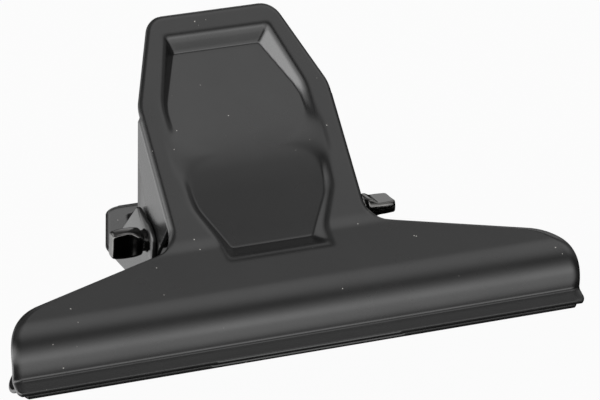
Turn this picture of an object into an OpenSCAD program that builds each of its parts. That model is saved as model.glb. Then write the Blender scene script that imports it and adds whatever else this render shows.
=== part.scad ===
// Wide sprung paper clip: two pressed steel plates hinged on a swaged pin and
// pushed shut by a coiled torsion spring.
// X runs along the jaws, Z up from the lips to the handles and Y from front to rear.
// The origin lies midway between the lips, on the plane that their cut edges stand on.

/* [Sheet] */
// Thickness of the pressed steel sheet
sheet = 0.8; // [0.6:0.1:1]
// Gap between the two lips when the clip is shut
lip_gap = 0.2; // [0.1:0.1:0.6]

/* [Jaw] */
// Length of the front jaw
jaw_w = 125; // [100:1:150]
// Length by which the rear jaw is shorter than the front one
rear_jaw_cut = 3; // [0:0.5:6]
// Height of the upright lip below its fold
lip_h = 3.2; // [2:0.2:5]
// Outer radius of the small fold above the lip
lip_fold_r = 0.7; // [0.4:0.1:1.2]
// Angle from upright at which the underside of the bulge leaves the lip
lip_fold_angle = 75; // [65:1:85]
// Outer radius of the jaw's bulge
bulge_r = 9.2; // [7:0.2:11]
// Lean of the jaw's flat face from upright
jaw_lean = 2.5; // [0:0.5:6]
// Length of the flat jaw face between the bulge and the neck's bend
jaw_face_l = 10.9; // [9:0.1:14]
// Slope of the upper jaw edge from the neck down to the jaw's end
jaw_edge_angle = 15.6; // [10:0.2:20]
// Radius of the jaw's upper end corners
jaw_corner_r = 11; // [5:0.5:13]
// Radius of the lip's end corners
lip_corner_r = 1.6; // [0.6:0.2:3]
// Radius of the concave corner between jaw and handle
neck_fillet_r = 5.4; // [2:0.2:8]

/* [Handle] */
// Lean of each handle from upright
handle_lean = 23; // [16:0.5:26]
// Outer radius of the bend between jaw face and handle
neck_bend_r = 9; // [4:0.5:12]
// Width of the front handle over its side flanges
handle_w = 43.4; // [40:0.2:50]
// Distance from the neck to the shoulder, along the handle
shoulder_h = 31.5; // [30:0.5:36]
// Distance from the neck to the top edge, along the handle
handle_h = 51.4; // [50:0.2:60]
// Width of the top edge between its sharp corners
top_w = 28.4; // [26:0.2:34]
// Radius of the top corners
top_corner_r = 5; // [2:0.2:7]
// Radius of the shoulders
shoulder_r = 8; // [2:0.5:10]

/* [Panel] */
// Distance from the neck to the ridge where the panel is level with its frame
ridge_h = 19.7; // [17:0.1:22]
// Width of the pressed panel at the ridge
panel_w = 32.2; // [28:0.2:34]
// Distance from the neck to the panel's upper edge
panel_top_h = 46; // [42:0.2:48]
// Width of the panel's upper edge
panel_top_w = 23.2; // [18:0.2:26]
// Depth of the panel below its frame at the upper end
panel_top_depth = 3; // [1:0.2:4]
// Distance from the neck to where the panel's lower sides turn inward
panel_waist_h = 8; // [5:0.2:10]
// Width of the panel where its lower sides turn inward
panel_waist_w = 31; // [28:0.2:33]
// Distance from the neck down the jaw face to the panel's lower edge
panel_foot_h = 4.6; // [2:0.2:7]
// Width of the panel's lower edge
panel_foot_w = 22.8; // [18:0.2:26]
// Depth of the panel below the handle's face at the lower end
panel_foot_depth = 2.2; // [1:0.2:3]
// Width of the slanted wall round the panel at its full depth
panel_wall_w = 2.6; // [1:0.2:4]

/* [Ears] */
// Height of the hinge axis above the lips' edges
axle_z = 36.3; // [34:0.1:38]
// Radius of the ear round the pin
ear_r = 4.3; // [4:0.1:5]
// Rise of the ear's corner circle above the hinge axis
ear_tip_rise = 5.3; // [4:0.1:6]
// Reach of the ear's corner circle past the middle plane
ear_tip_reach = 1.6; // [0.4:0.1:2.4]
// Radius of the ear's corner
ear_tip_r = 2; // [1:0.1:2.4]
// Outer radius of the fold between handle and flange
flange_fold_r = 1.4; // [1.1:0.1:2]
// Distance from the neck to the lower end of the flange's fold
flange_foot_h = 4.4; // [3:0.2:6]
// Distance from the neck to the upper end of the flange's fold
flange_top_h = 29.2; // [28:0.1:30]
// Side gap between an inner ear and the outer ear beside it
ear_gap = 0.3; // [0.2:0.05:0.6]

/* [Axle] */
// Diameter of the hinge pin
axle_d = 4.4; // [3.6:0.1:4.6]
// Radial clearance of the pin in the ears' holes
axle_clearance = 0.06; // [0.02:0.01:0.1]
// Length of the hinge pin
axle_l = 63; // [60:0.5:70]
// Sideways offset of the pin, which is free to slide a little
axle_shift = 1.1; // [-1.5:0.1:1.5]
// Length of each swaged end
swage_l = 6.4; // [4:0.1:6.6]
// Thickness of a swaged end between its two broad faces
swage_t = 2.6; // [2:0.1:4]
// Length over which a swaged end thins down from the pin's diameter
swage_neck_l = 2; // [1:0.1:3]
// Width of a swaged end's broad faces at their middle
swage_d = 6.4; // [6:0.1:6.6]
// Width of a swaged end's broad faces at either end
swage_tip_d = 5.6; // [5.2:0.1:5.8]
// Turn of the left end's broad face downward from facing the front
swage_turn_left = 74; // [-90:1:90]
// Turn of the right end's broad face downward from facing the front
swage_turn_right = -26; // [-90:1:90]

/* [Spring] */
// Diameter of the spring wire
wire_d = 1.8; // [1.4:0.1:1.9]
// Gap between the coil's inner side and the pin
coil_clearance = 0.5; // [0.3:0.1:0.8]
// Distance from one turn of the coil to the next
coil_pitch = 2.4; // [2.35:0.05:2.5]
// Turns of the coil
coil_turns = 15; // [10:1:15]
// Length of the part of each leg that slants from the coil to its plate
leg_slant_l = 13; // [12:0.5:15]
// Length of the part of each leg that lies along its plate
leg_foot_l = 7; // [4:0.5:9]
// Gap between a leg and the plate that it pushes on
leg_gap = 0.3; // [0.2:0.1:0.6]

/* [Hidden] */
$fn = 64;
// How far cutting solids run past what they cut
overrun = 1;
// Steps in which the section follows the bulge, the small fold and the neck's bend
bulge_steps = 20;
fold_steps = 6;
bend_steps = 6;
// Share of the sheet by which the back of the panel's pressing is wider than its front
pressing_share = 0.6;
// How far the round pin runs into a swaged end, and by how much the end is thicker there
swage_run = 0.4;
swage_room = 0.1;
// Rings along one turn of the coil and sides of the wire
turn_rings = 8;
wire_sides = 6;
paint = [0.12, 0.12, 0.12];
dark_steel = [0.3, 0.3, 0.32];

// The cross-section's stations on the plate's outer face, as [distance from the middle plane, height].
// The lip rises, folds outward, rounds back up as the bulge, and bends outward again at the neck.
lip_y = lip_gap / 2 + sheet;
fold_centre = [lip_y + lip_fold_r, lip_h];
fold_end = fold_centre + lip_fold_r * [-cos(lip_fold_angle), sin(lip_fold_angle)];
bulge_centre = fold_end + bulge_r * [-cos(lip_fold_angle), sin(lip_fold_angle)];
bulge_end = bulge_centre + bulge_r * [cos(jaw_lean), -sin(jaw_lean)];
jaw_up = [sin(jaw_lean), cos(jaw_lean)];
bend_start = bulge_end + jaw_face_l * jaw_up;
bend_centre = bend_start + neck_bend_r * [cos(jaw_lean), -sin(jaw_lean)];
bend_angle = handle_lean - jaw_lean;
bend_tangent = neck_bend_r * tan(bend_angle / 2);
neck = bend_start + bend_tangent * jaw_up;
handle_up = [sin(handle_lean), cos(handle_lean)];
handle_out = [cos(handle_lean), -sin(handle_lean)];
axle_at = [0, axle_z];

// Widths of the handles, the rear one reaching round the front one's ears
front_w = handle_w;
rear_w = handle_w + 2 * (ear_gap + sheet);
bore_r = axle_d / 2 + axle_clearance;
coil_r = axle_d / 2 + coil_clearance + wire_d / 2;

// A point in the cross-section, given along the handle and outward from its outer face
function on_handle(along, out) = neck + along * handle_up + out * handle_out;

// Centre of the circle of one radius that touches both sides of a corner
function corner_centre(before, corner, after, radius) =
    let (u = (before - corner) / norm(before - corner))
    let (v = (after - corner) / norm(after - corner))
    let (half = acos(u * v) / 2)
    corner + (u + v) / norm(u + v) * radius / sin(half);

// Direction from both centres to the common tangent on the right of the way from one disc to the next
function tangent_angle(c1, r1, c2, r2) =
    atan2(c2[1] - c1[1], c2[0] - c1[0]) - acos((r1 - r2) / norm(c2 - c1));

// Convex outline with round corners, from its corner circles in anticlockwise order
module rounded_outline(centres, radii) {
    count = len(centres);
    polygon(centres);
    for (i = [0 : count - 1]) {
        j = (i + 1) % count;
        a = tangent_angle(centres[i], radii[i], centres[j], radii[j]);
        side = [cos(a), sin(a)];
        if (radii[i] > 0)
            translate(centres[i])
                circle(r = radii[i]);
        if (radii[i] > 0 || radii[j] > 0)
            polygon([
                centres[i],
                if (radii[i] > 0) centres[i] + radii[i] * side,
                if (radii[j] > 0) centres[j] + radii[j] * side,
                centres[j]
            ]);
    }
}

// Points along an arc, its first one left out
function arc(centre, radius, from, to, steps) = [
    for (i = [1 : steps])
        let (a = from + (to - from) * i / steps)
        centre + radius * [cos(a), sin(a)]
];

// One face of the sheet from the lip to past the top edge, a share of its thickness behind the outer face
function face_line(behind) = concat(
    [[lip_y - behind, 0], fold_centre - (lip_fold_r + behind) * [1, 0]],
    arc(fold_centre, lip_fold_r + behind, 180, 180 - lip_fold_angle, fold_steps),
    arc(bulge_centre, bulge_r - behind, -lip_fold_angle, -jaw_lean, bulge_steps),
    [bend_start - behind * [cos(jaw_lean), -sin(jaw_lean)]],
    arc(bend_centre, neck_bend_r + behind, 180 - jaw_lean, 180 - handle_lean, bend_steps),
    [on_handle(handle_h + overrun, -behind)]
);

// A point of the cross-section in the handle's own frame, as [outward, along]
function from_handle(p) = [(p - neck) * handle_out, (p - neck) * handle_up];

// Cross-section of a plate in the handle's own frame
module plate_section() {
    outer = face_line(0);
    inner = face_line(sheet);
    polygon([
        for (p = outer) from_handle(p),
        for (i = [len(inner) - 1 : -1 : 0]) from_handle(inner[i])
    ]);
}

// Half of the outline of a plate seen from the front, right of the middle
module outline_half(width, jaw_l) {
    half_w = width / 2;
    end_x = jaw_l / 2;
    slope = tan(jaw_edge_angle);
    neck_corner = [half_w, neck[1]];
    jaw_end_corner = [end_x, neck[1] - slope * (end_x - half_w)];
    jaw_peak = [0, neck[1] + slope * half_w];
    top_z = on_handle(handle_h, 0)[1];
    shoulder = [half_w, on_handle(shoulder_h, 0)[1]];
    top_corner = [top_w / 2 + (width - handle_w) / 2, top_z];
    rounded_outline(
        [
            [0, 0],
            [end_x - lip_corner_r, lip_corner_r],
            corner_centre([end_x, 0], jaw_end_corner, neck_corner, jaw_corner_r),
            jaw_peak
        ],
        [0, lip_corner_r, jaw_corner_r, 0]
    );
    rounded_outline(
        [
            [0, neck_corner[1]],
            neck_corner,
            corner_centre(neck_corner, shoulder, top_corner, shoulder_r),
            corner_centre(shoulder, top_corner, [0, top_z], top_corner_r),
            [0, top_z]
        ],
        [0, 0, shoulder_r, top_corner_r, 0]
    );
    fillet_centre = corner_centre(shoulder, neck_corner, jaw_end_corner, neck_fillet_r);
    difference() {
        polygon([
            neck_corner,
            [half_w, fillet_centre[1]],
            fillet_centre,
            fillet_centre - neck_fillet_r * [sin(jaw_edge_angle), cos(jaw_edge_angle)]
        ]);
        translate(fillet_centre)
            circle(r = neck_fillet_r);
    }
}

// Moves what is drawn along the handle's outer face, as [across, outward, along], into place
module handle_frame() {
    translate([0, neck[0], neck[1]])
        rotate([-handle_lean, 0, 0])
            children();
}

// Half of the panel's pressing, from the ridge to one end, as a solid between a cap and the floor.
// Widths and distances are [ridge, bend in the sides, end]. The wall narrows to nothing at the ridge.
module pressing(widths, reach, depth, end_rise, base, lift, grow) {
    wall = panel_wall_w;
    end_reach = reach[2] - wall;
    bend_share = reach[1] / end_reach;
    half = [for (w = widths) w / 2 + grow];
    rise = [0, 0, end_rise];
    far = [reach[0], reach[1], reach[2] + grow];
    rim = [for (i = [0 : 2]) [-half[i], base + rise[i], far[i]]];
    floor_bend = [-half[1] + wall * bend_share, base - depth * bend_share, reach[1]];
    floor_end = [-half[2] + wall, base - depth, end_reach + grow];
    mirrored = [[-1, 0, 0], [0, 1, 0], [0, 0, 1]];
    left_rim = rim;
    right_rim = [for (i = [2 : -1 : 0]) mirrored * rim[i]];
    surface = concat(left_rim, right_rim);
    cap = [for (p = surface) p + [0, lift, 0]];
    base_points = [floor_bend, floor_end, mirrored * floor_end, mirrored * floor_bend];
    polyhedron(
        points = concat(cap, surface, base_points),
        faces = [
            [0, 5, 4, 1], [1, 4, 3, 2],
            [6, 12, 15, 11], [12, 13, 14, 15],
            [6, 7, 12], [7, 8, 13], [7, 13, 12], [8, 9, 14, 13], [9, 10, 14], [10, 15, 14], [10, 11, 15],
            [0, 1, 7, 6], [1, 2, 8, 7], [2, 3, 9, 8], [3, 4, 10, 9], [4, 5, 11, 10], [5, 0, 6, 11]
        ]
    );
}

// The whole pressing, either as the hollow in front or as the swelling behind
module panel_pressing(base, lift, grow) {
    foot_rise = panel_foot_h * sin(bend_angle);
    foot_drop = panel_foot_h * cos(bend_angle);
    handle_frame()
        translate([0, 0, ridge_h]) {
            pressing(
                [panel_w, panel_w, panel_top_w],
                [0, shoulder_h - ridge_h, panel_top_h - ridge_h],
                panel_top_depth, 0, base, lift, grow
            );
            mirror([0, 0, 1])
                pressing(
                    [panel_w, panel_waist_w, panel_foot_w],
                    [0, ridge_h - panel_waist_h, ridge_h + foot_drop],
                    panel_foot_depth, foot_rise, base, lift, grow
                );
        }
}

// Side of the handle folded back toward the other plate, with the ear that carries the pin
module flange(width) {
    ear_tip = axle_at + [-ear_tip_reach, ear_tip_rise];
    handle_frame() {
        translate([width / 2 - flange_fold_r, -flange_fold_r, flange_foot_h])
            rotate_extrude(angle = 90)
                translate([flange_fold_r - sheet, 0])
                    square([sheet, flange_top_h - flange_foot_h]);
        translate([width / 2 - sheet, 0, 0])
            rotate([90, 0, 90])
                linear_extrude(height = sheet)
                    rounded_outline(
                        [
                            [-flange_fold_r, flange_foot_h],
                            [-flange_fold_r, flange_top_h],
                            from_handle(ear_tip),
                            from_handle(axle_at)
                        ],
                        [0, 0, ear_tip_r, ear_r]
                    );
    }
}

// Room cut out of the flat sheet for one flange's fold
module fold_room(width) {
    handle_frame()
        translate([width / 2 - flange_fold_r, -sheet - overrun, flange_foot_h])
            cube([flange_fold_r + overrun, sheet + 2 * overrun, flange_top_h - flange_foot_h]);
}

// One pressed plate, drawn on the rear side of the middle plane
module plate(width, jaw_l) {
    reach = on_handle(handle_h, 0)[0] + 2 * overrun;
    difference() {
        union() {
            difference() {
                intersection() {
                    handle_frame()
                        rotate([90, 0, 90])
                            linear_extrude(height = jaw_w + 2 * overrun, center = true)
                                plate_section();
                    translate([0, reach, 0])
                        rotate([90, 0, 0])
                            linear_extrude(height = reach) {
                                outline_half(width, jaw_l);
                                mirror([1, 0])
                                    outline_half(width, jaw_l);
                            }
                }
                fold_room(width);
                mirror([1, 0, 0])
                    fold_room(width);
            }
            intersection() {
                panel_pressing(-sheet, 2 * overrun, pressing_share * sheet);
                rotate([90, 0, 90])
                    linear_extrude(height = width, center = true)
                        polygon([
                            [0, bulge_end[1]],
                            bulge_end - sheet / 2 * [cos(jaw_lean), -sin(jaw_lean)],
                            on_handle(0, -sheet / 2),
                            on_handle(handle_h, -sheet / 2),
                            [0, on_handle(handle_h, 0)[1]]
                        ]);
            }
            flange(width);
            mirror([1, 0, 0])
                flange(width);
        }
        panel_pressing(0, overrun, 0);
        translate([0, 0, axle_z])
            rotate([0, 90, 0])
                cylinder(r = bore_r, h = width + 2 * overrun, center = true);
    }
}

module front_plate() {
    color(paint)
        mirror([0, 1, 0])
            plate(front_w, jaw_w);
}

module rear_plate() {
    color(paint)
        plate(rear_w, jaw_w - rear_jaw_cut);
}

// One swaged end from its inner end outward: a barrel pressed flat between two broad faces
module swaged_end(turn) {
    sag = (swage_d - swage_tip_d) / 2;
    barrel_r = (pow(swage_l / 2, 2) + sag * sag) / (2 * sag);
    full = axle_d / 2 + swage_room;
    thin = swage_t / 2;
    taper_from = 2 * swage_run;
    taper_to = taper_from + swage_neck_l;
    rotate([0, 90, 0])
        intersection() {
            rotate_extrude()
                intersection() {
                    translate([swage_d / 2 - barrel_r, swage_l / 2])
                        circle(r = barrel_r);
                    square([swage_d, swage_l]);
                }
            rotate([0, -90, turn])
                linear_extrude(height = swage_d + 2 * overrun, center = true)
                    polygon([
                        [0, -full], [taper_from, -full], [taper_to, -thin], [swage_l, -thin],
                        [swage_l, thin], [taper_to, thin], [taper_from, full], [0, full]
                    ]);
        }
}

module axle() {
    color(dark_steel)
        translate([axle_shift, 0, axle_z]) {
            rotate([0, 90, 0])
                cylinder(d = axle_d, h = axle_l - 2 * swage_l + 2 * swage_run, center = true);
            translate([axle_l / 2 - swage_l, 0, 0])
                swaged_end(swage_turn_right);
            mirror([1, 0, 0])
                translate([axle_l / 2 - swage_l, 0, 0])
                    swaged_end(swage_turn_left);
        }
}

// The spring's legs: distance of a leg's middle from the hinge axis once it lies along its plate,
// and the extra lean of the slanted part that brings it there
plate_distance = (neck - axle_at) * handle_out - sheet;
leg_distance = plate_distance - leg_gap - wire_d / 2;
slant_lean = asin(leg_distance / norm([leg_slant_l, coil_r])) - atan2(coil_r, leg_slant_l);
leg_lean = handle_lean + slant_lean;
leg_start = coil_r * [cos(leg_lean), -sin(leg_lean)];
leg_up = [sin(leg_lean), cos(leg_lean)];
leg_knee = leg_start + leg_slant_l * leg_up;
leg_end = leg_knee + leg_foot_l * handle_up;
// The rear leg's points past the coil, as [distance to the rear, height] from the hinge axis
leg_points = [
    leg_start + leg_slant_l / 2 * leg_up,
    leg_knee - wire_d / 2 * leg_up,
    leg_knee + wire_d / 2 * handle_up,
    leg_end - wire_d * handle_up,
    leg_end
];
leg_count = len(leg_points);
coil_steps = coil_turns * turn_rings;
wound_angle = coil_turns * 360 - 180 - 2 * leg_lean;
coil_l = coil_pitch * wound_angle / 360;
coil_from = 180 + leg_lean;

// Middle line of the wire: down the front leg, round the pin and up the rear leg
wire_points = concat(
    [for (i = [leg_count - 1 : -1 : 0]) [-coil_l / 2, -leg_points[i][0], leg_points[i][1]]],
    [
        for (i = [0 : coil_steps])
            let (share = i / coil_steps)
            let (a = coil_from + wound_angle * share)
            [coil_l * (share - 1 / 2), coil_r * cos(a), coil_r * sin(a)]
    ],
    [for (p = leg_points) [coil_l / 2, p[0], p[1]]]
);
wire_count = len(wire_points);

function unit(v) = v / norm(v);

// Ring of points round the wire at one of its stations, square to the way the wire runs there
function wire_ring(i) =
    let (before = wire_points[max(i - 1, 0)])
    let (after = wire_points[min(i + 1, wire_count - 1)])
    let (way = unit(after - before))
    let (across = unit([1, 0, 0] - way[0] * way))
    let (third = cross(way, across))
    [
        for (k = [0 : wire_sides - 1])
            let (a = 360 * k / wire_sides)
            wire_points[i] + wire_d / 2 * (cos(a) * across + sin(a) * third)
    ];

// Least gap of the wire to itself, over all stations at least half a turn apart
wire_gap = min([
    for (i = [0 : wire_count - 1])
        for (j = [i + turn_rings / 2 : 1 : wire_count - 1])
            norm(wire_points[i] - wire_points[j]) - wire_d
]);
echo(wire_gap = wire_gap);

module torsion_spring() {
    rings = [for (i = [0 : wire_count - 1]) each wire_ring(i)];
    last = (wire_count - 1) * wire_sides;
    sides = [
        for (i = [0 : wire_count - 2])
            for (k = [0 : wire_sides - 1])
                let (a = i * wire_sides + k)
                let (b = i * wire_sides + (k + 1) % wire_sides)
                each [[a, b, a + wire_sides], [b, b + wire_sides, a + wire_sides]]
    ];
    start_cap = [for (k = [wire_sides - 1 : -1 : 0]) k];
    end_cap = [for (k = [0 : wire_sides - 1]) last + k];
    color(dark_steel)
        translate([0, 0, axle_z])
            polyhedron(points = rings, faces = concat(sides, [start_cap, end_cap]));
}

front_plate();
rear_plate();
axle();
torsion_spring();
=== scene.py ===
"""Dressing of a wide sprung paper clip, seen from the front over a pale table.

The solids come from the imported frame. Every visible piece is modelled again here with its
pressed edges, folds and finish, and rides on the body that carries it.
"""

import logging
import math
from dataclasses import dataclass, field
from enum import Enum

import bmesh
import bpy
from bmesh.types import BMEdge, BMFace, BMLayerItem, BMVert, BMesh
from mathutils import Matrix, Vector


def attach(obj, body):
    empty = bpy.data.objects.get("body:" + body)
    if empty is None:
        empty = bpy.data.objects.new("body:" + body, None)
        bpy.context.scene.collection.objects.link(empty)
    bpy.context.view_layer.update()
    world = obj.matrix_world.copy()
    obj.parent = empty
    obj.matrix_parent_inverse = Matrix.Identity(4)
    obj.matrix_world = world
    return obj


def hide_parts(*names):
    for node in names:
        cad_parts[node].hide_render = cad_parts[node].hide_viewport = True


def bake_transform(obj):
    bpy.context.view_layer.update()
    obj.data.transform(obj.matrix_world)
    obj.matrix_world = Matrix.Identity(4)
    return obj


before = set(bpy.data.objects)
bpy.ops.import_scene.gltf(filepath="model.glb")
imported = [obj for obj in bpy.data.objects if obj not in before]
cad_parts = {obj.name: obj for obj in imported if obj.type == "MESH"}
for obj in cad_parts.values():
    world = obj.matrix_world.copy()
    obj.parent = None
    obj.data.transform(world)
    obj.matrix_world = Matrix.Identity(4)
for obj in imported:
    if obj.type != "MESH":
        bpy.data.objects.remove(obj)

LOG = logging.getLogger("clip")
MM = 0.001
# The span that a noise texture's values mostly lie in
NOISE_SPAN = (0.3, 0.7)
# Distances in millimetres within which points count as one
NEAR, WELD, SEAM_WELD = 0.01, 0.002, 0.0005
# Turns of a cut edge's rounding, in degrees from the sheet's face
EDGE_TURNS = (30, 60, 90)
# The weighted normals' neutral setting, and the least cosine that is divided by
EVEN_WEIGHT, LEAST = 50, 1e-6


class Side(Enum):
    """Which way a plate faces from the middle plane."""

    FRONT = -1
    REAR = 1


class End(Enum):
    """An end of the hinge pin, left being towards -X."""

    LEFT = -1
    RIGHT = 1


@dataclass(frozen=True)
class Enamel:
    """Satin black enamel over pressed steel, with a little dust in patches."""

    name: str = "black_enamel"
    colour: tuple[float, float, float] = (0.006, 0.006, 0.006)
    shades: tuple[float, float] = (0.8, 1.25)
    shade_size: float = 9 * MM
    shade_detail: float = 4.0
    ior: float = 1.5
    roughness: tuple[float, float] = (0.22, 0.29)
    roughness_size: float = 14 * MM
    roughness_detail: float = 3.0
    peel_size: float = 0.9 * MM
    peel_detail: float = 2.0
    peel_depth: float = 0.006 * MM
    peel_strength: float = 0.8
    dust: tuple[float, float, float] = (0.3, 0.29, 0.27)
    dust_gap: float = 2.3 * MM
    dust_span: tuple[float, float] = (0.035, 0.075)
    patch_size: float = 6 * MM
    patch_detail: float = 2.0
    patch_span: tuple[float, float] = (0.56, 0.6)

    def build(self) -> bpy.types.Material:
        """Build the enamel's node tree and return the material."""
        material, tree = new_material(self.name)
        place = add_node(tree, "TexCoord").outputs["Object"]
        tone = add_noise(tree, place, self.shade_size, self.shade_detail)
        dust = add_node(tree, "TexVoronoi", Scale=1 / self.dust_gap, Vector=place)
        speck = add_range(tree, dust.outputs["Distance"], self.dust_span, (1.0, 0.0))
        rare = add_noise(tree, place, self.patch_size, self.patch_detail)
        chosen = add_range(tree, rare, self.patch_span, (0.0, 1.0))
        both = add_math(tree, "MULTIPLY", speck, chosen)
        tint = add_mix(tree, tone, *shaded(self.colour, self.shades))
        sheen = add_noise(tree, place, self.roughness_size, self.roughness_detail)
        peel = add_noise(tree, place, self.peel_size, self.peel_detail)
        set_inputs(tree, tree.nodes["Principled BSDF"], {
            "Metallic": 0.0,
            "IOR": self.ior,
            "Base Color": add_mix(tree, both, tint, (*self.dust, 1)),
            "Roughness": add_range(tree, sheen, NOISE_SPAN, self.roughness),
            "Normal": add_bump(tree, peel, self.peel_depth, self.peel_strength),
        })
        return material


@dataclass(frozen=True)
class DarkSteel:
    """Blackened or drawn steel, polished a little by handling."""

    name: str
    colour: tuple[float, float, float]
    roughness: float
    grain: float
    shades: tuple[float, float] = (0.75, 1.2)
    polish: tuple[float, float] = (0.8, 1.3)
    streak_size: float = 0.7 * MM
    streak_detail: float = 4.0
    scratch_depth: float = 0.004 * MM
    scratch_strength: float = 0.5

    def build(self) -> bpy.types.Material:
        """Build the steel's node tree and return the material."""
        material, tree = new_material(self.name)
        place = add_node(tree, "TexCoord").outputs["Object"]
        stretch = add_node(tree, "Mapping", Vector=place, Scale=(self.grain, 1.0, 1.0))
        streak = add_noise(tree, stretch.outputs["Vector"], self.streak_size, self.streak_detail)
        span = tuple(self.roughness * share for share in self.polish)
        set_inputs(tree, tree.nodes["Principled BSDF"], {
            "Metallic": 1.0,
            "Base Color": add_mix(tree, streak, *shaded(self.colour, self.shades)),
            "Roughness": add_range(tree, streak, NOISE_SPAN, span),
            "Normal": add_bump(tree, streak, self.scratch_depth, self.scratch_strength),
        })
        return material


def new_material(name: str) -> tuple:
    """Start a material with its principled shader, and return it and its node tree."""
    material = bpy.data.materials.new(name)
    material.use_nodes = True
    return material, material.node_tree


def set_inputs(tree, node, values: dict) -> None:
    """Set a node's inputs.

    Args:
        tree: the node's tree.
        node: the node.
        values: a number, a row of numbers or an output socket by the input's name or place.
    """
    for key, value in values.items():
        if isinstance(value, bpy.types.NodeSocket):
            tree.links.new(value, node.inputs[key])
        else:
            node.inputs[key].default_value = value


def add_node(tree, kind: str, **values) -> bpy.types.Node:
    """Add a shader node of a kind, with its inputs set."""
    node = tree.nodes.new("ShaderNode" + kind)
    set_inputs(tree, node, values)
    return node


def shaded(colour: tuple, shades: tuple) -> list[tuple]:
    """Darker and lighter shades of a colour."""
    return [(*[c * shade for c in colour], 1) for shade in shades]


def add_noise(tree, place, size: float, detail: float):
    """Add a noise of a size in metres, and return its output socket."""
    noise = add_node(tree, "TexNoise", Vector=place, Scale=1 / size, Detail=detail)
    return noise.outputs["Fac"]


def add_mix(tree, share, first, last, kind: str = "RGBA"):
    """Mix two values or sockets of a kind, and return the output socket."""
    mix = tree.nodes.new("ShaderNodeMix")
    mix.data_type = kind
    set_inputs(tree, mix, {"Factor": share, "A": first, "B": last})
    return mix.outputs["Result"]


def add_math(tree, operation: str, first, last):
    """Combine two values or sockets, and return the output socket."""
    combined = tree.nodes.new("ShaderNodeMath")
    combined.operation = operation
    set_inputs(tree, combined, {0: first, 1: last})
    return combined.outputs[0]


def add_range(tree, source, read: tuple[float, float], made: tuple[float, float]):
    """Map a socket's value from one range to another, clamped, and return the output socket."""
    ramp = tree.nodes.new("ShaderNodeMapRange")
    names = ("Value", "From Min", "From Max", "To Min", "To Max")
    set_inputs(tree, ramp, dict(zip(names, (source, *read, *made))))
    return ramp.outputs["Result"]


def add_bump(tree, height, depth: float, strength: float):
    """Add a bump of a depth in metres from a height socket, and return its normal's socket."""
    bump = add_node(tree, "Bump", Strength=strength, Distance=depth, Height=height)
    return bump.outputs["Normal"]


def turned(angle: float) -> Vector:
    """Unit vector in the plane at an angle in degrees."""
    return Vector((math.cos(math.radians(angle)), math.sin(math.radians(angle))))


def corner_centre(before: Vector, corner: Vector, after: Vector, radius: float) -> Vector:
    """Centre of the circle that touches both sides of a corner.

    Args:
        before: a point on the corner's first side.
        corner: the corner.
        after: a point on its second side.
        radius: the circle's radius.
    """
    u, v = (before - corner).normalized(), (after - corner).normalized()
    half = math.acos(max(-1.0, min(1.0, u.dot(v)))) / 2
    return corner + (u + v).normalized() * radius / math.sin(half)


def ease(share: float) -> float:
    """Smooth step from 0 to 1, level at both ends and past them."""
    share = min(1.0, max(0.0, share))
    return share * share * (3 - 2 * share)


def line_between(a, b, steps: int) -> list:
    """Points or numbers in even steps from one to another, with both ends."""
    return [a + (b - a) * i / steps for i in range(steps + 1)]


def crossing(a: Vector, b: Vector, x: float) -> Vector:
    """Point at a first coordinate on the line through two points."""
    return a + (b - a) * (x - a.x) / (b.x - a.x)


def soft_min(a: float, b: float, reach: float) -> float:
    """Smaller of two values, rounded where they are within reach of each other."""
    h = max(reach - abs(a - b), 0.0) / reach
    return min(a, b) - h * h * reach / 4


def soft_max(a: float, b: float, reach: float) -> float:
    """Larger of two values, rounded where they are within reach of each other."""
    return -soft_min(-a, -b, reach)


def side_touching(c1: Vector, r1: float, c2: Vector, r2: float) -> tuple[Vector, Vector]:
    """Common tangent on the right of the way from one disc to the next.

    Args:
        c1: the first disc's centre.
        r1: its radius.
        c2: the second disc's centre.
        r2: its radius.

    Returns:
        The two points where the tangent touches the discs.
    """
    way = c2 - c1
    angle = math.degrees(math.atan2(way.y, way.x) - math.acos((r1 - r2) / way.length))
    return c1 + r1 * turned(angle), c2 + r2 * turned(angle)


def arc_between(centre: Vector, radius: float, a: Vector, b: Vector, steps: int) -> list[Vector]:
    """Points on the short arc between two directions, both ends left out.

    Args:
        centre: the arc's centre.
        radius: its radius.
        a: a point in the first direction.
        b: a point in the second direction.
        steps: how many parts the arc has.
    """
    first = math.degrees(math.atan2(a.y - centre.y, a.x - centre.x))
    turn = math.degrees(math.atan2(b.y - centre.y, b.x - centre.x)) - first
    turn = (turn + 180) % 360 - 180
    return [centre + radius * turned(first + turn * i / steps) for i in range(1, steps)]


@dataclass(frozen=True)
class Row:
    """One row of the pressed sheet, across the clip.

    Attributes:
        point: distance from the middle plane and height of the sheet's outer face.
        out: outward direction of that face.
        half: half the sheet's width there.
        along: distance from the neck in the handle's frame.
        rise: distance of the outer face in front of the handle's plane.
    """

    point: Vector
    out: Vector
    half: float
    along: float
    rise: float


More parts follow.
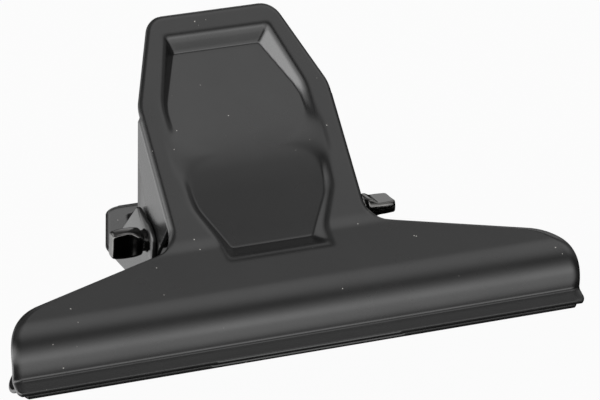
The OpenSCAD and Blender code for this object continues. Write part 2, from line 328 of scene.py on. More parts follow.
@dataclass
class PressedPlate:
    """A jaw plate pressed from one sheet, with its dished handle and folded side flanges.

    All sizes are in millimetres. The plate is built on the rear side of the middle plane and
    mirrored for the front one.
    """

    side: Side
    handle_w: float
    name: str
    node: str
    body: str
    jaw_w: float
    sheet: float = 0.8
    lip_gap: float = 0.2
    lip_stations: tuple = (0.45, 0.75, 1.1, 1.6, 2.2, 2.7)
    lip_h: float = 3.2
    lip_fold_r: float = 0.7
    lip_fold_angle: float = 75.0
    bulge_r: float = 9.2
    jaw_lean: float = 2.5
    jaw_face_l: float = 10.9
    jaw_edge_angle: float = 15.6
    jaw_corner_r: float = 11.0
    lip_corner_r: float = 1.6
    neck_fillet_r: float = 5.4
    handle_lean: float = 23.0
    neck_bend_r: float = 9.0
    front_handle_w: float = 43.4
    shoulder_h: float = 31.5
    handle_h: float = 51.4
    top_w: float = 28.4
    top_corner_r: float = 5.0
    shoulder_r: float = 8.0
    ridge_h: float = 19.7
    panel_w: float = 32.2
    panel_waist_w: float = 31.0
    panel_waist_h: float = 8.0
    panel_top_h: float = 46.0
    panel_top_w: float = 23.2
    panel_top_depth: float = 3.0
    panel_foot_h: float = 4.6
    panel_foot_w: float = 22.8
    panel_foot_depth: float = 2.2
    panel_wall_w: float = 2.6
    axle_z: float = 36.3
    bore_r: float = 2.26
    ear_r: float = 4.3
    ear_tip_rise: float = 5.3
    ear_tip_reach: float = 1.6
    ear_tip_r: float = 2.0
    flange_fold_r: float = 1.4
    flange_foot_h: float = 4.4
    flange_top_h: float = 29.2
    edge_r: float = 0.28
    chord_out: float = -7.0
    panel_margin: float = 1.5
    foot_wall_extra: float = 0.5
    floor_limit_share: float = 1.08
    end_soft: float = 0.8
    side_soft: float = 0.6
    fade_share: float = 0.45
    faded_share: float = 0.12
    fade_soft: float = 0.9
    ridge_soft: float = 0.9
    crease_soft: float = 0.3
    rim_soft: float = 0.9
    roll_fade: float = 5.0
    rim_turn: float = 45.0
    centre_columns: int = 46
    side_columns: int = 22
    row_gap: float = 0.45
    fold_steps: int = 8
    bulge_steps: int = 30
    face_steps: int = 24
    bend_steps: int = 8
    corner_steps: int = 20
    ear_steps: tuple = (12, 10, 8, 14, 6)
    rows: list[Row] = field(default_factory=list)

    def __post_init__(self) -> None:
        """Work out the section's stations and the outline's corner circles."""
        lean = math.radians(self.handle_lean)
        self.up2 = Vector((math.sin(lean), math.cos(lean)))
        self.out2 = Vector((math.cos(lean), -math.sin(lean)))
        self.lip_y = self.lip_gap / 2 + self.sheet
        a = math.radians(self.lip_fold_angle)
        inward = Vector((-math.cos(a), math.sin(a)))
        self.fold_centre = Vector((self.lip_y + self.lip_fold_r, self.lip_h))
        fold_end = self.fold_centre + self.lip_fold_r * inward
        self.bulge_centre = fold_end + self.bulge_r * inward
        tilt = math.radians(self.jaw_lean)
        self.jaw_out = Vector((math.cos(tilt), -math.sin(tilt)))
        self.jaw_up = Vector((math.sin(tilt), math.cos(tilt)))
        self.bulge_end = self.bulge_centre + self.bulge_r * self.jaw_out
        self.bend_start = self.bulge_end + self.jaw_face_l * self.jaw_up
        self.bend_centre = self.bend_start + self.neck_bend_r * self.jaw_out
        self.bend_tangent = self.neck_bend_r * math.tan(
            math.radians(self.handle_lean - self.jaw_lean) / 2
        )
        self.neck = self.bend_start + self.bend_tangent * self.jaw_up
        self.roll_r = self.flange_fold_r - self.sheet / 2
        self.rim_reach = self.roll_r * math.sin(math.radians(self.rim_turn))
        self._place_outline()
        self.rows = self._make_rows()

    def on_handle(self, along: float, out: float) -> Vector:
        """Point of the cross-section given in the handle's frame."""
        return self.neck + along * self.up2 + out * self.out2

    def from_handle(self, point: Vector) -> Vector:
        """Point of the handle's frame, as outward and along, given in the cross-section."""
        return Vector(((point - self.neck).dot(self.out2), (point - self.neck).dot(self.up2)))

    def _place_outline(self) -> None:
        """Place the corner circles of the outline seen from the front."""
        half, end = self.handle_w / 2, self.jaw_w / 2
        slope = math.tan(math.radians(self.jaw_edge_angle))
        neck_corner = Vector((half, self.neck.y))
        jaw_end = Vector((end, self.neck.y - slope * (end - half)))
        top_z = self.on_handle(self.handle_h, 0).y
        shoulder = Vector((half, self.on_handle(self.shoulder_h, 0).y))
        top = Vector((self.top_w / 2 + (self.handle_w - self.front_handle_w) / 2, top_z))
        self.jaw_corner = corner_centre(Vector((end, 0)), jaw_end, neck_corner, self.jaw_corner_r)
        self.fillet = corner_centre(shoulder, neck_corner, jaw_end, self.neck_fillet_r)
        self.shoulder = corner_centre(neck_corner, shoulder, top, self.shoulder_r)
        self.top_corner = corner_centre(shoulder, top, Vector((0, top_z)), self.top_corner_r)
        self.top_z = top_z
        taper = (top - shoulder).normalized()
        self.taper_out = Vector((taper.y, -taper.x))
        self.taper_from = shoulder

    def half_width(self, z: float, r: float) -> float:
        """Half the outline's width at a height.

        Args:
            z: the height above the lips' edges.
            r: how far the outline is drawn in.
        """
        end, half = self.jaw_w / 2, self.handle_w / 2
        a = math.radians(self.jaw_edge_angle)
        out = Vector((math.sin(a), math.cos(a)))
        if z < self.lip_corner_r:
            reach = self.lip_corner_r - r
            drop = min(reach, self.lip_corner_r - z)
            return end - self.lip_corner_r + math.sqrt(reach * reach - drop * drop)
        if z < self.jaw_corner.y:
            return end - r
        reach = self.jaw_corner_r - r
        if z < self.jaw_corner.y + reach * out.y:
            return self.jaw_corner.x + math.sqrt(reach**2 - (z - self.jaw_corner.y) ** 2)
        reach = self.neck_fillet_r + r
        if z < self.fillet.y - reach * out.y:
            return half + (self.neck.y - z) / math.tan(a) - r / math.sin(a)
        if z < self.fillet.y:
            return self.fillet.x - math.sqrt(reach**2 - (z - self.fillet.y) ** 2)
        reach = self.shoulder_r - r
        if z < self.shoulder.y:
            return half - r
        if z < self.shoulder.y + reach * self.taper_out.y:
            return self.shoulder.x + math.sqrt(reach**2 - (z - self.shoulder.y) ** 2)
        reach = self.top_corner_r - r
        if z < self.top_corner.y + reach * self.taper_out.y:
            n = self.taper_out
            return (n.dot(self.taper_from) - r - n.y * z) / n.x
        drop = min(reach, z - self.top_corner.y)
        return self.top_corner.x + math.sqrt(reach**2 - drop**2)

    def _row(self, point: Vector, out: Vector) -> Row:
        """Make one row from a point of the outer face and its outward direction."""
        local = self.from_handle(point)
        return Row(point, out, self.half_width(point.y, 0.0), local.y, local.x)

    def _inset(self, x: float, z: float) -> float:
        """Distance of a point of the handle from the handle's outline."""
        p, n, top = Vector((x, z)), self.taper_out, self.top_z - z
        from_top, from_shoulder = p - self.top_corner, p - self.shoulder
        if z <= self.shoulder.y:
            return self.handle_w / 2 - x
        if from_top.x > 0 and from_top.y > 0 and n.x * from_top.y > n.y * from_top.x:
            return self.top_corner_r - from_top.length
        if n.x * from_shoulder.y < n.y * from_shoulder.x:
            return min(top, self.shoulder_r - from_shoulder.length)
        return min(top, n.dot(self.taper_from - p))

    def _lay(self, column: int, row: Row) -> tuple[float, float]:
        """Place one point of the blank in its row, with the side rolled back.

        Args:
            column: the point's column.
            row: its row.

        Returns:
            Its distance from the middle and how far the roll sets it back.
        """
        r, mid = self.flange_fold_r, self.roll_r
        fold_x = self.handle_w / 2 - r
        share = column / self.centre_columns
        side = max(0.0, (column - self.centre_columns) / self.side_columns)
        if row.along > self.flange_top_h:
            turn = math.radians(self.rim_turn)
            end = self.half_width(row.point.y, r - self.rim_reach)
            tapered = row.point.y > self.shoulder.y
            seam = end - self.rim_reach / (self.taper_out.x if tapered else 1.0)
            way = math.sin(turn * side) / math.sin(turn)
            x = seam * share if side == 0 else seam + (end - seam) * way
            inner = min(self.rim_reach, max(0.0, r - self._inset(x, row.point.y)))
            return x, mid - math.sqrt(mid * mid - inner * inner)
        if side == 0:
            return fold_x * share, 0.0
        rolled = ease(1 - (self.flange_foot_h - row.along) / self.roll_fade)
        flat = row.half - r - fold_x
        length = (r - self.edge_r) * (1 - rolled) + mid * math.pi / 2 * rolled
        way = side * (flat + length)
        if way <= flat or rolled == 0:
            return fold_x + way, 0.0
        full = math.pi / 2 * rolled
        angle = full * (way - flat) / length
        x = fold_x + flat + length * math.sin(angle) / full
        return x, length * (1 - math.cos(angle)) / full

    def _make_rows(self) -> list[Row]:
        """Follow the section from the lip to the top edge."""
        rows = []
        for z in (self.edge_r, *self.lip_stations, self.lip_h):
            rows.append(self._row(Vector((self.lip_y, z)), Vector((1, 0))))
        fold, lean, tip = self.lip_fold_angle, self.jaw_lean, self.handle_lean
        rows += self._arc_rows(self.fold_centre, self.lip_fold_r, 180, 180 - fold, self.fold_steps)
        rows += self._arc_rows(self.bulge_centre, self.bulge_r, -fold, -lean, self.bulge_steps, 1)
        for point in line_between(self.bulge_end, self.bend_start, self.face_steps)[1:]:
            rows.append(self._row(point, self.jaw_out))
        centre, start, end = self.bend_centre, 180 - lean, 180 - tip
        rows += self._arc_rows(centre, self.neck_bend_r, start, end, self.bend_steps)
        for along in self._handle_stations():
            rows.append(self._row(self.on_handle(along, 0), self.out2))
        return rows

    def _arc_rows(self, centre, r: float, start: float, end: float, steps: int, face=-1) -> list:
        """Rows round an arc between two angles, its start left out, facing in or (1) out."""
        ways = [turned(angle) for angle in line_between(start, end, steps)[1:]]
        return [self._row(centre + r * way, face * way) for way in ways]

    def _handle_stations(self) -> list[float]:
        """Distances from the neck at which the handle has rows, lowest first."""
        lean = math.cos(math.radians(self.handle_lean))
        top = self.handle_h - self.flange_fold_r + self.rim_reach
        corner = (self.top_corner.y - self.neck.y) / lean
        foot, crown = self.flange_rows()
        marks = [self.bend_tangent, foot, crown, corner]
        found = []
        for a, b in zip(marks, marks[1:]):
            steps = max(1, round((b - a) / self.row_gap))
            found += line_between(a, b, steps)[1:]
        for i in range(1, self.corner_steps + 1):
            way = math.sin(math.pi / 2 * i / self.corner_steps)
            found.append(corner + (top - corner) * way)
        return found

    def flange_rows(self) -> tuple[float, float]:
        """Lowest and highest distance from the neck at which the handle folds into its flange."""
        return tuple(point.y for point in self.ear_lines()[:2])

    def ear_lines(self) -> tuple[Vector, Vector, list[Vector]]:
        """Outline of the flange in the handle's frame, drawn in by the edge's radius.

        Returns:
            Where the lower and the upper edge meet the fold, and the outline between them.
        """
        r = self.edge_r
        top, tip_round, front, ear_round, low = self.ear_steps
        axle = self.from_handle(Vector((0, self.axle_z)))
        tip = self.from_handle(Vector((-self.ear_tip_reach, self.axle_z + self.ear_tip_rise)))
        fold = -self.flange_fold_r
        foot, crown = Vector((fold, self.flange_foot_h)), Vector((fold, self.flange_top_h))
        sides = (crown, 0.0, tip, self.ear_tip_r, axle, self.ear_r, foot, 0.0)
        drawn = [self._drawn_in(*side_touching(*sides[i : i + 4]), r) for i in (0, 2, 4)]
        (top_a, top_b), (front_a, front_b), (low_a, low_b) = drawn
        crown, foot = crossing(top_a, top_b, fold), crossing(low_b, low_a, fold)
        first = crossing(top_a, top_b, self.chord_out)
        last = crossing(low_b, low_a, self.chord_out)
        line = line_between(first, top_b, top)
        line += arc_between(tip, self.ear_tip_r - r, top_b, front_a, tip_round)
        line += line_between(front_a, front_b, front)
        line += arc_between(axle, self.ear_r - r, front_b, low_a, ear_round)
        line += line_between(low_a, last, low)
        return foot, crown, line

    @staticmethod
    def _drawn_in(a: Vector, b: Vector, by: float) -> tuple[Vector, Vector]:
        """Move a side to its left, into an outline that runs anticlockwise."""
        way = (b - a).normalized()
        left = Vector((-way.y, way.x)) * by
        return a + left, b + left

    def dish(self, x: float, row: Row) -> float:
        """Depth to which the panel is pressed below the sheet's own face.

        Args:
            x: distance from the middle of the clip.
            row: the row that the point lies on.

        Returns:
            The depth, along the handle's outward direction.
        """
        along, x = row.along, abs(x)
        lean = math.radians(self.handle_lean - self.jaw_lean)
        half, foot = self.panel_w / 2, -self.panel_foot_h * math.cos(lean)
        foot_rise = self.panel_foot_h * math.sin(lean)
        margin = self.panel_margin
        if x > half + margin or along > self.panel_top_h + margin or along < foot - margin:
            return 0.0
        upper = along >= self.ridge_h
        if upper:
            bend = Vector((half, self.shoulder_h))
            far = Vector((self.panel_top_w / 2, self.panel_top_h))
            from_end, depth = self.panel_top_h - along, self.panel_top_depth
            share = (along - self.ridge_h) / (self.panel_top_h - self.panel_wall_w - self.ridge_h)
        else:
            bend = Vector((self.panel_waist_w / 2, self.panel_waist_h))
            far = Vector((self.panel_foot_w / 2, foot))
            from_end, depth = along - foot, self.panel_foot_depth
            share = (self.ridge_h - along) / (self.ridge_h - foot - self.panel_wall_w)
        ridge, place, flip = Vector((half, self.ridge_h)), Vector((x, along)), 1 if upper else -1
        side, taper = bend - ridge, far - bend
        to_side = Vector((abs(side.y), flip * abs(side.x))).normalized()
        to_taper = Vector((abs(taper.y), flip * abs(taper.x))).normalized()
        from_side, from_taper = to_side.dot(ridge - place), to_taper.dot(bend - place)
        from_end = soft_min(from_end, from_taper, self.end_soft)
        inside = soft_min(from_end, from_side, self.side_soft)
        rim = 0.0
        if along < self.panel_waist_h:
            rim = foot_rise * (self.panel_waist_h - along) / (self.panel_waist_h - foot)
        near = ease(share / self.fade_share)
        slope = (depth + (0.0 if upper else self.foot_wall_extra)) / self.panel_wall_w
        wall = rim - inside * slope * (self.faded_share + (1 - self.faded_share) * near)
        rising = self.panel_top_depth / (self.panel_top_h - self.panel_wall_w - self.ridge_h)
        falling = self.panel_foot_depth / (self.ridge_h - foot - self.panel_wall_w)
        rise, fall = rising * (self.ridge_h - along), falling * (along - self.ridge_h)
        floor = max(soft_min(rise, fall, self.ridge_soft), -self.floor_limit_share * depth)
        pressed = soft_max(floor, wall, self.crease_soft + self.fade_soft * (1 - near))
        return row.rise - soft_min(row.rise, pressed, self.rim_soft)

    def build(self, material: bpy.types.Material) -> None:
        """Press the plate and dress it in a finish."""
        bm = bmesh.new()
        self._press_half(bm)
        self._fold_flange(bm)
        whole, still = bm.verts[:] + bm.edges[:] + bm.faces[:], Matrix.Identity(4)
        bmesh.ops.mirror(bm, geom=whole, matrix=still, merge_dist=SEAM_WELD, axis="X")
        bmesh.ops.remove_doubles(bm, verts=bm.verts[:], dist=SEAM_WELD)
        bmesh.ops.recalc_face_normals(bm, faces=bm.faces[:])
        thicken(bm, self.sheet, self.edge_r)
        if self.side is Side.FRONT:
            bmesh.ops.scale(bm, vec=Vector((1, -1, 1)), verts=bm.verts[:])
        finish_piece(bm, self.name, material, self.body, self.node)

    def _press_half(self, bm: BMesh) -> None:
        """Lay a flat half blank in an empty mesh and press it into the section and the dish."""
        columns = self.centre_columns + self.side_columns
        count = len(self.rows) - 1
        bmesh.ops.create_grid(bm, x_segments=columns, y_segments=count, size=0.5)
        where = bm.verts.layers.int.new("row")
        column_of = bm.verts.layers.int.new("column")
        bm.verts.layers.int.new("order")
        for v in bm.verts:
            c, i = round((v.co.x + 0.5) * columns), round((v.co.y + 0.5) * count)
            v[where], v[column_of] = i, c
            row = self.rows[i]
            x, back = self._lay(c, row)
            down = self.dish(x, row) + back
            p = row.point - row.out * self.sheet / 2 - self.out2 * down
            v.co = Vector((x, p.x, p.y))

    def _fold_flange(self, bm: BMesh) -> None:
        """Draw the flange on from the pressed half's rolled side, with its ear round the pin."""
        where, column_of = bm.verts.layers.int["row"], bm.verts.layers.int["column"]
        foot, crown, line = self.ear_lines()
        chosen = [
            v
            for v in bm.verts
            if v[column_of] == self.centre_columns + self.side_columns
            and foot.y - NEAR <= self.rows[v[where]].along <= crown.y + NEAR
        ]
        picked = set(chosen)
        last = [e for e in bm.edges if e.verts[0] in picked and e.verts[1] in picked]
        out = bmesh.ops.extrude_edge_only(bm, edges=last)
        web = [v for v in out["geom"] if isinstance(v, BMVert)]
        web.sort(key=self._along)
        flat_x = self.handle_w / 2 - self.sheet / 2
        low, high = line[-1], line[0]
        first = self._along(web[0])
        reach = self._along(web[-1]) - first
        chord = []
        for v in web:
            share = (self._along(v) - first) / reach
            p = low + (high - low) * share
            chord.append(p)
            v.co = self._on_flange(p, flat_x)
        loop = line + chord[1:-1]
        axle = self.from_handle(Vector((0, self.axle_z)))
        made = bmesh.ops.create_circle(bm, cap_ends=False, segments=len(loop), radius=1.0)
        order = bm.verts.layers.int["order"]
        for i, v in enumerate(made["verts"]):
            v[order] = i
            way = (loop[i] - axle).normalized()
            v.co = self._on_flange(axle + way * (self.bore_r + self.edge_r), flat_x)
        rim = list({e for v in made["verts"] for e in v.link_edges})
        out = bmesh.ops.extrude_edge_only(bm, edges=rim)
        for v in made_of(out, BMVert):
            v.co = self._on_flange(loop[v[order]], flat_x)
        bmesh.ops.remove_doubles(bm, verts=bm.verts[:], dist=WELD)

    def _along(self, v: BMVert) -> float:
        """Distance of a point of the sheet from the neck, along the handle."""
        return self.from_handle(v.co.yz).y

    def _on_flange(self, point: Vector, x: float) -> Vector:
        """Place a point of the handle's frame, as outward and along, on the flange."""
        p = self.on_handle(point.y, point.x)
        return Vector((x, p.x, p.y))


def thicken(bm: BMesh, thickness: float, edge_r: float) -> None:
    """Give a sheet's middle surface its thickness and a rounded cut edge.

    Args:
        bm: the middle surface, with its open edges drawn in by the edge's radius.
        thickness: the sheet's thickness.
        edge_r: radius of the cut edge's two corners.
    """
    face_way = bm.verts.layers.float_vector.new("face_way")
    edge_way = bm.verts.layers.float_vector.new("edge_way")
    middle = bm.verts.layers.float_vector.new("middle")
    sign = bm.verts.layers.int.new("sign")
    bm.normal_update()
    for v in bm.verts:
        v[face_way], v[middle] = v.normal, v.co
    ways: dict = {}
    for e in bm.edges:
        if len(e.link_faces) != 1:
            continue
        a, b = e.verts
        f = e.link_faces[0]
        out = (b.co - a.co).cross(f.normal).normalized()
        if out.dot((a.co + b.co) / 2 - f.calc_center_median()) < 0:
            out = -out
        ways.setdefault(a, []).append(out)
        ways.setdefault(b, []).append(out)
    for v, found in ways.items():
        total = sum(found, Vector()).normalized()
        v[edge_way] = total / max(0.5, total.dot(found[0]))
    half = thickness / 2
    made = bmesh.ops.extrude_face_region(bm, geom=bm.faces[:])
    lifted = set(made_of(made, BMVert))
    for v in bm.verts:
        v[sign] = 1 if v in lifted else -1
        v.co = v[middle] + v[face_way] * half * v[sign]
    rim = [f for f in bm.faces if len({v[sign] for v in f.verts}) == 2]
    for angle in EDGE_TURNS:
        made = bmesh.ops.extrude_face_region(bm, geom=rim)
        rim = made_of(made, BMFace)
        a = math.radians(angle)
        for v in made_of(made, BMVert):
            rise = half - edge_r + edge_r * math.cos(a)
            v.co = v[middle] + v[edge_way] * edge_r * math.sin(a) + v[face_way] * rise * v[sign]
    bmesh.ops.recalc_face_normals(bm, faces=bm.faces[:])


def add_object(name: str, data: bpy.types.ID) -> bpy.types.Object:
    """Put new data into the scene as an object."""
    obj = bpy.data.objects.new(name, data)
    bpy.context.collection.objects.link(obj)
    return obj


def add_mesh(name: str, bm: BMesh, material: bpy.types.Material) -> bpy.types.Object:
    """Put a mesh in a finish into the scene as an object, and free it."""
    mesh = bpy.data.meshes.new(name)
    bm.to_mesh(mesh)
    bm.free()
    mesh.materials.append(material)
    return add_object(name, mesh)


def made_of(made: dict, kind: type) -> list:
    """Pick the parts of one kind out of what an operator made."""
    return [g for g in made["geom"] if isinstance(g, kind)]


def start_ring(bm: BMesh, segments: int) -> BMLayerItem:
    """Begin a drawn piece with a ring of points, and return the layer of their numbers."""
    order = bm.verts.layers.int.new("order")
    made = bmesh.ops.create_circle(bm, cap_ends=False, segments=segments, radius=1.0)
    for i, v in enumerate(made["verts"]):
        v[order] = i
    return order


def next_ring(bm: BMesh, ring: list) -> tuple[list, list]:
    """Draw a piece on from a ring of edges, and return the new ring and its points."""
    out = bmesh.ops.extrude_edge_only(bm, edges=ring)
    verts = made_of(out, BMVert)
    edges = made_of(out, BMEdge)
    return [e for e in edges if e.verts[0] in verts and e.verts[1] in verts], verts


def finish_piece(
    bm: BMesh, name: str, material: bpy.types.Material, body: str, node: str
) -> bpy.types.Object:
    """Turn a mesh in millimetres into a dressed piece that stands for a node.

    Args:
        bm: the closed mesh, freed afterwards.
        name: the piece's name.
        material: its finish.
        body: the body that it rides on.
        node: the node that it stands for.

    Returns:
        The piece's object.
    """
    bmesh.ops.scale(bm, vec=Vector((MM, MM, MM)), verts=bm.verts[:])
    bmesh.ops.recalc_face_normals(bm, faces=bm.faces[:])
    for f in bm.faces:
        f.smooth = True
    for layers in (bm.verts.layers.float_vector, bm.verts.layers.int):
        for layer in list(layers.values()):
            layers.remove(layer)
    obj = add_mesh(name, bm, material)
    even = obj.modifiers.new("even_shading", "WEIGHTED_NORMAL")
    even.mode = "FACE_AREA"
    even.weight = EVEN_WEIGHT
    if body:
        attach(obj, body)
    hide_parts(node)
    LOG.info("%s: %d faces", name, len(obj.data.polygons))
    return obj


@dataclass
class HingePin:
    """The steel pin through the ears, with its two swaged ends. Sizes are in millimetres.

    Attributes:
        shoulder: rings where the swage begins, each with its distance past the swage's inner
            end, its share of the swage, below zero on the round middle, and how far it is
            drawn in towards the axis.
        tip: rings at the outer end, each with its distance from the end and the same two.
    """

    diameter: float = 4.4
    length: float = 63.0
    shift: float = 1.1
    height: float = 36.3
    swage_l: float = 6.4
    thickness: float = 2.6
    neck_from: float = 0.8
    neck_to: float = 2.8
    corner_d: float = 6.4
    tip_d: float = 5.6
    turn_left: float = 74.0
    turn_right: float = -26.0
    sharpness: float = 20.0
    segments: int = 144
    room: float = 0.05
    shoulder: tuple = (
        (-0.35, -1.0, 0.0), (-0.05, -1.0, 0.0), (0.0, 0.0, 0.32), (0.1, 0.0, 0.12), (0.3, 0.05, 0.0)
    )
    tip: tuple = (
        (0.22, 0.97, 0.06), (0.08, 1.0, 0.18), (0.0, 1.0, 0.42), (0.0, 1.0, 0.8), (0.0, 1.0, 1.1)
    )
    first_share: float = 0.05
    drawn_share: float = 0.88
    swage_rings: int = 18

    def section(self, u: float, angle: float, turn: float) -> float:
        """Radius of a swaged end.

        Args:
            u: share of the swaged length, from its inner end.
            angle: direction round the pin, in degrees.
            turn: turn of the broad face downward from facing the front, in degrees.

        Returns:
            The radius.
        """
        bow = (self.corner_d - self.tip_d) / 2 * (2 * u - 1) ** 2
        barrel = self.corner_d / 2 - bow
        thinning = ease((u * self.swage_l - self.neck_from) / (self.neck_to - self.neck_from))
        round_half = self.diameter / 2 + self.room
        half = round_half + (self.thickness / 2 - round_half) * thinning
        flat = half / max(abs(math.cos(math.radians(angle + turn))), LEAST)
        return (barrel**-self.sharpness + flat**-self.sharpness) ** (-1 / self.sharpness)

    def _stations(self) -> list[tuple[float, float, float]]:
        """Stations of one half of the pin from its middle out.

        Returns:
            For each station its distance from the middle, its share of the swage, below zero on
            the round middle, and how far it is drawn in towards the axis.
        """
        half = self.length / 2
        start = half - self.swage_l
        found = [(0.0, -1.0, 0.0)]
        found += [(start + past, u, inset) for past, u, inset in self.shoulder]
        for i in range(1, self.swage_rings + 1):
            u = self.first_share + self.drawn_share * i / self.swage_rings
            found.append((start + self.swage_l * u, u, 0.0))
        return found + [(half - short, u, inset) for short, u, inset in self.tip]

    def build(self, material: bpy.types.Material) -> None:
        """Draw the pin out from its middle to both swaged ends, and dress it in a finish."""
        bm = bmesh.new()
        order = start_ring(bm, self.segments)
        middle, first = list(bm.edges), list(bm.verts)
        for end in End:
            turn = self.turn_left if end is End.LEFT else self.turn_right
            ring, verts = middle, first
            for x, u, inset in self._stations():
                if x > 0:
                    ring, verts = next_ring(bm, ring)
                for v in verts:
                    angle = 360 * v[order] / self.segments
                    r = self.diameter / 2 if u < 0 else self.section(u, angle, turn) - inset
                    # Angle zero points to the front, and a quarter turn on is up
                    y, z = -r * math.cos(math.radians(angle)), r * math.sin(math.radians(angle))
                    v.co = Vector((self.shift + end.value * x, y, self.height + z))
            bmesh.ops.edgeloop_fill(bm, edges=ring)
        finish_piece(bm, "hinge_pin", material, "front", "axle")


@dataclass
class CoilSpring:
    """The wound wire spring on the pin. Sizes are in millimetres.

    Attributes:
        cut: rings of the wire's rounded cut end, each with its share of the wire's thickness
            and how far it lies inside the end.
    """

    wire_d: float = 1.8
    axle_d: float = 4.4
    clearance: float = 0.5
    pitch: float = 2.4
    turns: int = 15
    slant_l: float = 13.0
    foot_l: float = 7.0
    leg_gap: float = 0.3
    height: float = 36.3
    lean: float = 23.0
    sheet: float = 0.8
    neck: Vector = field(default_factory=Vector)
    rings_per_turn: int = 28
    leg_steps: int = 6
    foot_steps: int = 4
    sides: int = 14
    cut: tuple = ((0.7, -0.02), (0.93, 0.05))

    def path(self) -> list[Vector]:
        """Middle line of the wire from the front leg's end to the rear leg's end."""
        lean = math.radians(self.lean)
        coil_r = self.axle_d / 2 + self.clearance + self.wire_d / 2
        out = Vector((math.cos(lean), -math.sin(lean)))
        distance = (self.neck - Vector((0, self.height))).dot(out) - self.sheet
        distance -= self.leg_gap + self.wire_d / 2
        slant = math.asin(distance / math.hypot(self.slant_l, coil_r))
        leg_lean = lean + (slant - math.atan2(coil_r, self.slant_l))
        start = coil_r * Vector((math.cos(leg_lean), -math.sin(leg_lean)))
        up = Vector((math.sin(leg_lean), math.cos(leg_lean)))
        flat = Vector((math.sin(lean), math.cos(lean)))
        knee = start + self.slant_l * up
        leg = [start + up * self.slant_l * i / self.leg_steps for i in range(1, self.leg_steps)]
        turn_in = self.wire_d
        for i in range(self.leg_steps + 1):
            s = i / self.leg_steps
            a, b = knee - up * turn_in, knee + flat * turn_in
            leg.append((1 - s) ** 2 * a + 2 * s * (1 - s) * knee + s * s * b)
        for i in range(1, self.foot_steps + 1):
            leg.append(knee + flat * (turn_in + (self.foot_l - turn_in) * i / self.foot_steps))
        wound = self.turns * 2 * math.pi - math.pi - 2 * leg_lean
        length = self.pitch * wound / (2 * math.pi)
        first = math.pi + leg_lean
        points = [Vector((-length / 2, -p.x, p.y)) for p in reversed(leg)]
        steps = int(self.turns * self.rings_per_turn)
        for i in range(steps + 1):
            a = first + wound * i / steps
            x = length * (i / steps - 0.5)
            points.append(Vector((x, coil_r * math.cos(a), coil_r * math.sin(a))))
        points += [Vector((length / 2, p.x, p.y)) for p in leg]
        self.coil_half = length / 2
        return [p + Vector((0, 0, self.height)) for p in points]

    def build(self, material: bpy.types.Material) -> None:
        """Draw the wire along its line and dress it in a finish."""
        points = self.path()
        bm = bmesh.new()
        order = start_ring(bm, self.sides)
        first_ring, ring, verts = list(bm.edges), [], list(bm.verts)
        last = len(points) - 1
        stations = [(0, swell, nudge) for swell, nudge in self.cut]
        stations += [(i, 1.0, 0.0) for i in range(len(points))]
        stations += [(last, swell, -nudge) for swell, nudge in reversed(self.cut)]
        for index, swell, nudge in stations:
            before, after = points[max(index - 1, 0)], points[min(index + 1, last)]
            way = (after - before).normalized()
            side = Vector((1, 0, 0))
            side = (side - way * side.dot(way)).normalized()
            third = way.cross(side)
            if ring:
                ring, verts = next_ring(bm, ring)
            else:
                ring = first_ring
            for v in verts:
                a = 2 * math.pi * v[order] / self.sides
                across = math.cos(a) * side + math.sin(a) * third
                v.co = points[index] + way * nudge + self.wire_d / 2 * swell * across
        bmesh.ops.edgeloop_fill(bm, edges=ring)
        bmesh.ops.edgeloop_fill(bm, edges=first_ring)
        obj = finish_piece(bm, "spring_wire", material, "", "torsion_spring")
        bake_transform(obj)


# Soft bright patches of the room, each with its degrees round the table from the clip's right
# end towards its handles, its degrees above the table, and its brightness at the middle
GLOWS = (
    (0.0, 90.0, 0.12),
    (345.0, 62.0, 1.6),
    (296.0, 24.0, 0.4),
    (288.0, 7.0, 1.35),
    (90.0, 60.0, 0.25),
    (0.0, 30.0, 0.42),
    (56.0, 22.0, 1.0),
    (135.0, 30.0, 1.61),
    (180.0, 30.0, 1.3),
    (225.0, 30.0, 2.95),
    (250.0, 18.0, 2.23),
    (197.0, 9.0, 6.0),
    (292.0, -7.0, 2.3),
    (114.0, -27.0, 1.14),
    (150.0, -20.0, 3.37),
    (180.0, -4.0, 2.04),
    (205.0, -20.0, 2.02),
)


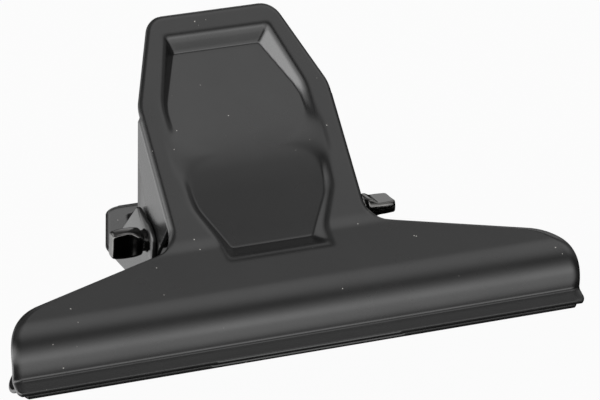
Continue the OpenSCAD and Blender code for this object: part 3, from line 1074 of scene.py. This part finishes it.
@dataclass
class Studio:
    """The pale table, the soft light and the camera of a catalogue picture."""

    right: Vector = field(default_factory=lambda: Vector((0.9203, -0.1664, -0.3541)))
    up: Vector = field(default_factory=lambda: Vector((0.1417, -0.7018, 0.6982)))
    back: Vector = field(default_factory=lambda: Vector((-0.3646, -0.6927, -0.6223)))
    away: float = 0.85
    slide_x: float = 0.0020
    slide_y: float = 0.0304
    lens: float = 251.7
    table_up: Vector = field(default_factory=lambda: Vector((0.0, -0.9472, 0.3206)))
    table_drop: float = -0.0256
    lamp_size: float = 0.7
    lamp_distance: float = 1.0
    lamp_power: float = 0.3
    glow_edge: float = 0.84
    horizon: tuple[float, float] = (-0.03, 0.09)
    sensor: float = 36.0
    clip: tuple[float, float] = (0.01, 50.0)
    table_size: float = 3.0
    table_tone: float = 0.25
    table_roughness: float = 0.7
    table_specular: float = 0.1
    white_share: float = 0.955

    def build(self) -> None:
        """Set the camera, the table, the lamp and the world."""
        self._camera()
        self._table()
        self._lamp()
        self._world()
        bpy.context.scene.view_settings.view_transform = "Standard"

    def _camera(self) -> None:
        """Place the camera at the photograph's viewing angle."""
        data = bpy.data.cameras.new("camera")
        data.sensor_width = self.sensor
        data.lens = self.lens
        data.clip_start, data.clip_end = self.clip
        cam = add_object("camera", data)
        place = -self.slide_x * self.right + self.slide_y * self.up + self.away * self.back
        turn = Matrix((self.right, self.up, self.back)).transposed().to_4x4()
        cam.matrix_world = Matrix.Translation(place) @ turn
        bpy.context.scene.camera = cam

    def _table(self) -> None:
        """Lay a large pale table under the clip. From behind it is see-through."""
        bm = bmesh.new()
        bmesh.ops.create_grid(bm, x_segments=1, y_segments=1, size=self.table_size)
        material, tree = new_material("pale_table")
        table = add_mesh("table", bm, material)
        table.matrix_world = self._over(self.table_drop, "X")
        shader, white = tree.nodes["Principled BSDF"], (1, 1, 1, 1)
        set_inputs(tree, shader, {
            "Base Color": (*[self.table_tone] * 3, 1),
            "Roughness": self.table_roughness,
            "Specular IOR Level": self.table_specular,
        })
        glow = add_node(tree, "Emission", Color=white, Strength=1.0).outputs["Emission"]
        seen = add_node(tree, "LightPath").outputs["Is Camera Ray"]
        share = add_math(tree, "MULTIPLY", seen, self.white_share)
        lit = tree.nodes.new("ShaderNodeMixShader")
        set_inputs(tree, lit, {"Fac": share, 1: shader.outputs["BSDF"], 2: glow})
        clear = add_node(tree, "BsdfTransparent").outputs["BSDF"]
        behind = add_node(tree, "NewGeometry").outputs["Backfacing"]
        both = tree.nodes.new("ShaderNodeMixShader")
        set_inputs(tree, both, {"Fac": behind, 1: lit.outputs["Shader"], 2: clear})
        tree.links.new(both.outputs["Shader"], tree.nodes["Material Output"].inputs["Surface"])
        table.visible_diffuse = False
        table.visible_glossy = False
        table.visible_shadow = False

    def _over(self, height: float, up: str) -> Matrix:
        """Place at a height over the clip's middle that faces away from the table."""
        n = self.table_up.normalized()
        return Matrix.Translation(n * height) @ n.to_track_quat("Z", up).to_matrix().to_4x4()

    def _lamp(self) -> None:
        """Hang the soft lamp over the table."""
        data = bpy.data.lights.new("overhead_box", "AREA")
        data.size = self.lamp_size
        data.energy = self.lamp_power
        lamp = add_object("overhead_box", data)
        lamp.matrix_world = self._over(self.lamp_distance, "Y")
        lamp.visible_camera = False

    def _world(self) -> None:
        """Light the room by its glows and show a white backdrop to the camera."""
        world = bpy.data.worlds.new("room")
        bpy.context.scene.world = world
        world.use_nodes = True
        tree = world.node_tree
        place = add_node(tree, "TexCoord").outputs["Generated"]
        up = self.table_up.normalized()
        side = Vector((1, 0, 0))
        deep = up.cross(side)
        above = self._direction(tree, place, up, *self.horizon)
        total = None
        for azimuth_deg, height_deg, brightness in GLOWS:
            azimuth, height = math.radians(azimuth_deg), math.radians(height_deg)
            level_way = side * math.cos(azimuth) + deep * math.sin(azimuth)
            way = level_way * math.cos(height) + up * math.sin(height)
            lit = self._direction(tree, place, way, self.glow_edge, 1.0, brightness)
            if height > 0:
                lit = add_math(tree, "MULTIPLY", lit, above)
            total = lit if total is None else add_math(tree, "ADD", total, lit)
        seen = add_node(tree, "LightPath").outputs["Is Camera Ray"]
        level = add_mix(tree, seen, total, 1.0, "FLOAT")
        set_inputs(tree, tree.nodes["Background"], {"Color": (1, 1, 1, 1), "Strength": level})

    @staticmethod
    def _direction(tree, place, way: Vector, low: float, high: float, level: float = 1.0):
        """Fade in light round one direction, and return the output socket.

        Args:
            tree: the world's node tree.
            place: the socket that gives the direction looked in.
            way: the direction.
            low: cosine of the angle to it at which the light begins.
            high: cosine of the angle at which the light is full.
            level: the full light.
        """
        dot = tree.nodes.new("ShaderNodeVectorMath")
        dot.operation = "DOT_PRODUCT"
        set_inputs(tree, dot, {0: place, 1: way})
        lit = add_range(tree, dot.outputs["Value"], (low, high), (0.0, level))
        lit.node.interpolation_type = "SMOOTHSTEP"
        return lit


def main() -> None:
    """Build the clip, the table, the light and the camera."""
    logging.basicConfig(level=logging.INFO, format="%(name)s %(message)s")
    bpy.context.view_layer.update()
    enamel = Enamel().build()
    pin_colour, wire_colour = (0.1, 0.098, 0.096), (0.42, 0.42, 0.44)
    pin_steel = DarkSteel("pin_steel", pin_colour, roughness=0.16, grain=0.25).build()
    wire_steel = DarkSteel("wire_steel", wire_colour, roughness=0.3, grain=0.5).build()
    front = PressedPlate(
        Side.FRONT, name="front_sheet", node="front_plate", body="front", handle_w=43.4, jaw_w=125.0
    )
    front.build(enamel)
    rear = PressedPlate(
        Side.REAR, name="rear_sheet", node="rear_plate", body="rear", handle_w=45.6, jaw_w=122.0
    )
    rear.build(enamel)
    HingePin().build(pin_steel)
    CoilSpring(neck=front.neck).build(wire_steel)
    Studio().build()


if __name__ == "__main__":
    main()
